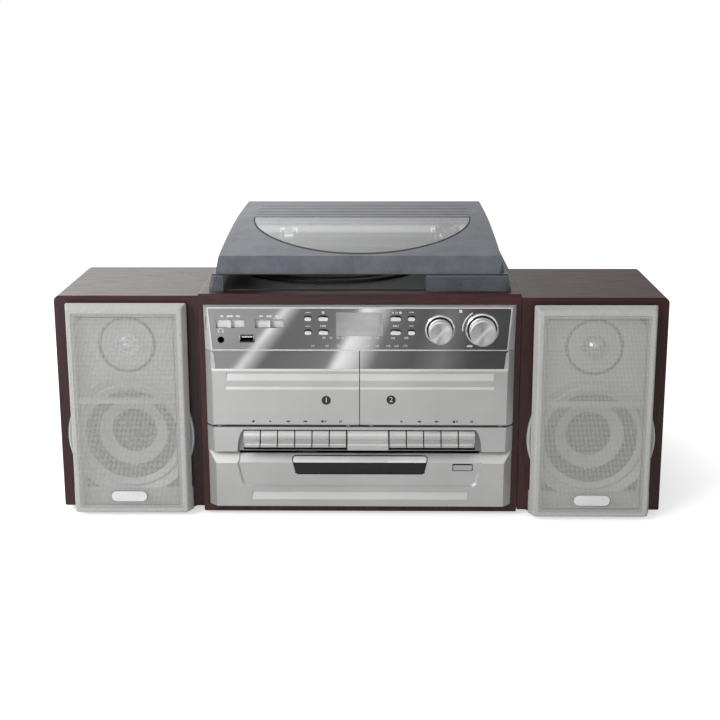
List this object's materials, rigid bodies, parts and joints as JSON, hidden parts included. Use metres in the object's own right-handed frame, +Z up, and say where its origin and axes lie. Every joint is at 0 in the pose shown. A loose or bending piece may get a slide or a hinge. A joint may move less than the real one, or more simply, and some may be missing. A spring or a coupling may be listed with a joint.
{
  "type": "stereo music centre",
  "caption": "Wooden music centre with lidded record player, radio controls, twin cassette doors, piano keys and disc tray, between two shelf loudspeakers with cloth grilles.",
  "frame": {"origin": "middle of the whole set's footprint, on the surface it stands on", "axes": "+X to the right seen from the front, +Y to the back, +Z up"},
  "size_m": [0.631, 0.377, 0.2894],
  "materials": {
    "black_moulding": "black moulded plastic",
    "black_rubber": "matt rubber",
    "brass_pulley": "turned brass",
    "circuit_board": "green solder resist",
    "grille_cloth": "pale grey cloth over a moulded frame",
    "mirror_lens": "dark half mirror on clear acrylic",
    "nickel_socket": "nickel plated",
    "platter_metal": "black painted casting",
    "red_tip": "red plastic",
    "silver_moulding": "satin silver paint on moulded plastic",
    "smoke_lid": "smoke tinted clear plastic with a matt outer face",
    "speaker_cone": "coated paper cone with a dark surround",
    "speaker_silver": "silver painted moulding",
    "spun_metal": "spun face, chromed rim",
    "steel_core": "varnished laminations",
    "white_cap": "glossy silver white caps",
    "wood_veneer": "satin dark mahogany veneer",
    "zinc_can": "zinc plated can"
  },
  "bodies": {
    "main_unit": {"case": "wood_veneer", "rear_panel": "black_moulding", "rear_sockets": "nickel_socket", "rubber_feet": "black_rubber", "control_panel": "silver_moulding", "control_lens": "mirror_lens", "key_frame": "silver_moulding", "disc_fascia": "silver_moulding", "cassette_decks": "black_moulding", "disc_loader": "black_moulding", "main_board": "circuit_board", "power_transformer": "steel_core", "turntable_deck": "black_moulding", "turntable_motor": "zinc_can", "drive_belt": "black_rubber"},
    "platter": {"platter": "platter_metal", "platter_mat": "black_rubber"},
    "motor_pulley": {"motor_pulley": "brass_pulley"},
    "tonearm_base": {"tonearm_base": "black_moulding"},
    "tonearm": {"tonearm": "spun_metal"},
    "cue_lever": {"cue_lever": "black_moulding"},
    "speed_lever": {"speed_lever": "red_tip"},
    "lid": {"lid": "smoke_lid"},
    "function_switch": {"function_switch": "white_cap"},
    "band_switch": {"band_switch": "white_cap"},
    "tuning_knob": {"tuning_knob": "spun_metal"},
    "volume_knob": {"volume_knob": "spun_metal"},
    "source_button": {"source_button": "white_cap"},
    "timer_button": {"timer_button": "white_cap"},
    "clock_button": {"clock_button": "white_cap"},
    "skip_back_button": {"skip_back_button": "white_cap"},
    "play_button": {"play_button": "white_cap"},
    "stop_button": {"stop_button": "white_cap"},
    "skip_on_button": {"skip_on_button": "white_cap"},
    "mode_button": {"mode_button": "white_cap"},
    "left_door": {"left_door": "silver_moulding"},
    "right_door": {"right_door": "silver_moulding"},
    "record_key": {"record_key": "silver_moulding"},
    "play_key_1": {"play_key_1": "silver_moulding"},
    "rewind_key_1": {"rewind_key_1": "silver_moulding"},
    "wind_key_1": {"wind_key_1": "silver_moulding"},
    "stop_key_1": {"stop_key_1": "silver_moulding"},
    "pause_key_1": {"pause_key_1": "silver_moulding"},
    "play_key_2": {"play_key_2": "silver_moulding"},
    "rewind_key_2": {"rewind_key_2": "silver_moulding"},
    "wind_key_2": {"wind_key_2": "silver_moulding"},
    "stop_key_2": {"stop_key_2": "silver_moulding"},
    "pause_key_2": {"pause_key_2": "silver_moulding"},
    "disc_tray": {"disc_tray": "black_moulding"},
    "disc_button": {"disc_button": "silver_moulding"},
    "left_speaker": {"left_speaker_case": "wood_veneer", "left_baffle": "speaker_silver", "left_woofer": "speaker_cone", "left_tweeter": "speaker_silver"},
    "left_grille": {"left_grille": "grille_cloth"},
    "right_speaker": {"right_speaker_case": "wood_veneer", "right_baffle": "speaker_silver", "right_woofer": "speaker_cone", "right_tweeter": "speaker_silver"},
    "right_grille": {"right_grille": "grille_cloth"}
  },
  "joints": [
    {"name": "platter_spin", "type": "hinge", "parent": "main_unit", "child": "platter", "pos_m": [-0.035, -0.0115, 0.244], "axis": [0, 0, -1], "continuous": true},
    {"name": "motor_spin", "type": "hinge", "parent": "main_unit", "child": "motor_pulley", "pos_m": [0.02, -0.0665, 0.225], "axis": [0, 0, -1], "continuous": true},
    {"name": "arm_swing", "type": "hinge", "parent": "main_unit", "child": "tonearm_base", "pos_m": [0.101, 0.1005, 0.26], "axis": [0, 0, -1], "range_deg": [0, 36]},
    {"name": "arm_lift", "type": "hinge", "parent": "tonearm_base", "child": "tonearm", "pos_m": [0.101, 0.1005, 0.26], "axis": [-1, 0, 0], "range_deg": [0, 3]},
    {"name": "cue_lift", "type": "hinge", "parent": "main_unit", "child": "cue_lever", "pos_m": [0.126, 0.0665, 0.245], "axis": [-1, 0, 0], "range_deg": [0, 60]},
    {"name": "speed_turn", "type": "hinge", "parent": "main_unit", "child": "speed_lever", "pos_m": [0.11, -0.1195, 0.24], "axis": [0, 0, 1], "range_deg": [-20, 20]},
    {"name": "lid_hinge", "type": "hinge", "parent": "main_unit", "child": "lid", "pos_m": [0, 0.1805, 0.245], "axis": [-1, 0, 0], "range_deg": [0, 65]},
    {"name": "function_slide", "type": "slide", "parent": "main_unit", "child": "function_switch", "axis": [1, 0, 0], "range_m": [-0.009, 0.009]},
    {"name": "band_slide", "type": "slide", "parent": "main_unit", "child": "band_switch", "axis": [1, 0, 0], "range_m": [-0.009, 0.009]},
    {"name": "tuning_turn", "type": "hinge", "parent": "main_unit", "child": "tuning_knob", "pos_m": [0.082, -0.1815, 0.203], "axis": [0, 1, 0], "range_deg": [-140, 140]},
    {"name": "volume_turn", "type": "hinge", "parent": "main_unit", "child": "volume_knob", "pos_m": [0.1248, -0.1815, 0.203], "axis": [0, 1, 0], "range_deg": [0, 300]},
    {"name": "source_press", "type": "slide", "parent": "main_unit", "child": "source_button", "axis": [0, 1, 0], "range_m": [0, 0.001], "stiffness_N_per_m": 300},
    {"name": "timer_press", "type": "slide", "parent": "main_unit", "child": "timer_button", "axis": [0, 1, 0], "range_m": [0, 0.001], "stiffness_N_per_m": 300},
    {"name": "clock_press", "type": "slide", "parent": "main_unit", "child": "clock_button", "axis": [0, 1, 0], "range_m": [0, 0.001], "stiffness_N_per_m": 300},
    {"name": "skip_back_press", "type": "slide", "parent": "main_unit", "child": "skip_back_button", "axis": [0, 1, 0], "range_m": [0, 0.001], "stiffness_N_per_m": 300},
    {"name": "play_press", "type": "slide", "parent": "main_unit", "child": "play_button", "axis": [0, 1, 0], "range_m": [0, 0.001], "stiffness_N_per_m": 300},
    {"name": "stop_press", "type": "slide", "parent": "main_unit", "child": "stop_button", "axis": [0, 1, 0], "range_m": [0, 0.001], "stiffness_N_per_m": 300},
    {"name": "skip_on_press", "type": "slide", "parent": "main_unit", "child": "skip_on_button", "axis": [0, 1, 0], "range_m": [0, 0.001], "stiffness_N_per_m": 300},
    {"name": "mode_press", "type": "slide", "parent": "main_unit", "child": "mode_button", "axis": [0, 1, 0], "range_m": [0, 0.001], "stiffness_N_per_m": 300},
    {"name": "left_door_tip", "type": "hinge", "parent": "main_unit", "child": "left_door", "pos_m": [-0.0795, -0.166, 0.1038], "axis": [1, 0, 0], "range_deg": [0, 35]},
    {"name": "right_door_tip", "type": "hinge", "parent": "main_unit", "child": "right_door", "pos_m": [0.0795, -0.166, 0.1038], "axis": [1, 0, 0], "range_deg": [0, 35]},
    {"name": "record_key_press", "type": "hinge", "parent": "main_unit", "child": "record_key", "pos_m": [0, -0.1165, 0.0896], "axis": [1, 0, 0], "range_deg": [0, 6], "stiffness_Nm_per_rad": 0.5, "springref_deg": -5.73},
    {"name": "play_key_1_press", "type": "hinge", "parent": "main_unit", "child": "play_key_1", "pos_m": [0, -0.1165, 0.0896], "axis": [1, 0, 0], "range_deg": [0, 6], "stiffness_Nm_per_rad": 0.5, "springref_deg": -5.73},
    {"name": "rewind_key_1_press", "type": "hinge", "parent": "main_unit", "child": "rewind_key_1", "pos_m": [0, -0.1165, 0.0896], "axis": [1, 0, 0], "range_deg": [0, 6], "stiffness_Nm_per_rad": 0.5, "springref_deg": -5.73},
    {"name": "wind_key_1_press", "type": "hinge", "parent": "main_unit", "child": "wind_key_1", "pos_m": [0, -0.1165, 0.0896], "axis": [1, 0, 0], "range_deg": [0, 6], "stiffness_Nm_per_rad": 0.5, "springref_deg": -5.73},
    {"name": "stop_key_1_press", "type": "hinge", "parent": "main_unit", "child": "stop_key_1", "pos_m": [0, -0.1165, 0.0896], "axis": [1, 0, 0], "range_deg": [0, 6], "stiffness_Nm_per_rad": 0.5, "springref_deg": -5.73},
    {"name": "pause_key_1_press", "type": "hinge", "parent": "main_unit", "child": "pause_key_1", "pos_m": [0, -0.1165, 0.0896], "axis": [1, 0, 0], "range_deg": [0, 6], "stiffness_Nm_per_rad": 0.5, "springref_deg": -5.73},
    {"name": "play_key_2_press", "type": "hinge", "parent": "main_unit", "child": "play_key_2", "pos_m": [0, -0.1165, 0.0896], "axis": [1, 0, 0], "range_deg": [0, 6], "stiffness_Nm_per_rad": 0.5, "springref_deg": -5.73},
    {"name": "rewind_key_2_press", "type": "hinge", "parent": "main_unit", "child": "rewind_key_2", "pos_m": [0, -0.1165, 0.0896], "axis": [1, 0, 0], "range_deg": [0, 6], "stiffness_Nm_per_rad": 0.5, "springref_deg": -5.73},
    {"name": "wind_key_2_press", "type": "hinge", "parent": "main_unit", "child": "wind_key_2", "pos_m": [0, -0.1165, 0.0896], "axis": [1, 0, 0], "range_deg": [0, 6], "stiffness_Nm_per_rad": 0.5, "springref_deg": -5.73},
    {"name": "stop_key_2_press", "type": "hinge", "parent": "main_unit", "child": "stop_key_2", "pos_m": [0, -0.1165, 0.0896], "axis": [1, 0, 0], "range_deg": [0, 6], "stiffness_Nm_per_rad": 0.5, "springref_deg": -5.73},
    {"name": "pause_key_2_press", "type": "hinge", "parent": "main_unit", "child": "pause_key_2", "pos_m": [0, -0.1165, 0.0896], "axis": [1, 0, 0], "range_deg": [0, 6], "stiffness_Nm_per_rad": 0.5, "springref_deg": -5.73},
    {"name": "tray_slide", "type": "slide", "parent": "main_unit", "child": "disc_tray", "axis": [0, -1, 0], "range_m": [0, 0.125]},
    {"name": "disc_press", "type": "slide", "parent": "main_unit", "child": "disc_button", "axis": [0, 1, 0], "range_m": [0, 0.0012], "stiffness_N_per_m": 300},
    {"name": "left_speaker_apart", "type": "slide", "parent": "main_unit", "child": "left_speaker", "axis": [-1, 0, 0], "range_m": [0, 0.25]},
    {"name": "left_grille_off", "type": "slide", "parent": "left_speaker", "child": "left_grille", "axis": [0, -1, 0], "range_m": [0, 0.05]},
    {"name": "right_speaker_apart", "type": "slide", "parent": "main_unit", "child": "right_speaker", "axis": [1, 0, 0], "range_m": [0, 0.25]},
    {"name": "right_grille_off", "type": "slide", "parent": "right_speaker", "child": "right_grille", "axis": [0, -1, 0], "range_m": [0, 0.05]}
  ],
  "couplings": [
    {"joint": "motor_spin", "follows": "platter_spin", "ratio": 11.273},
    {"joint": "arm_lift", "follows": "cue_lift", "ratio": 0.05}
  ]
}
